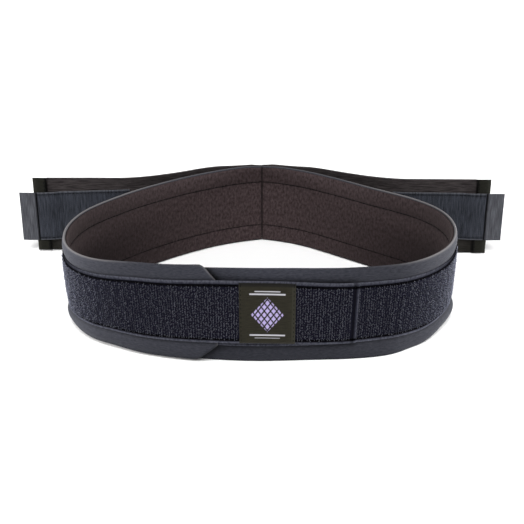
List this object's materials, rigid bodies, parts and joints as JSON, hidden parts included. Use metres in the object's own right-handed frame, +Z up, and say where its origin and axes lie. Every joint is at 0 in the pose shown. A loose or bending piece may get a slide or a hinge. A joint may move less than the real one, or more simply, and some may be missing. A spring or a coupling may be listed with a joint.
{
  "type": "sacroiliac belt",
  "caption": "Soft hip belt with loop tape around it, fastened in front by a labelled tongue, with two elastic pull straps standing out from the back seam.",
  "frame": {"origin": "centre of the footprint of the belt and its straps, on the surface that the lower edges stand on", "axes": "+X to the right as seen from the front closure, along the straps; +Y from the front closure to the back seam; +Z up"},
  "size_m": [0.4482, 0.2605, 0.0808],
  "materials": {
    "panel_fabric": "matte navy-grey knit over foam",
    "brushed_lining": "brushed brown-charcoal",
    "loop_pile": "woolly navy-black loop pile",
    "hook_tape": "ribbed blue-grey hook tape",
    "elastic": "matte black ribbed elastic",
    "satin_label": "dark satin"
  },
  "bodies": {
    "root": {"lining_left": "brushed_lining", "lining_right": "brushed_lining", "panel_left": "panel_fabric", "panel_right": "panel_fabric", "loop_tape_left": "loop_pile", "loop_tape_right": "loop_pile", "closure_hook": "hook_tape", "label": "satin_label", "strap_left": "elastic", "hook_strip_left": "hook_tape", "strap_right": "elastic", "hook_strip_right": "hook_tape"}
  },
  "joints": []
}
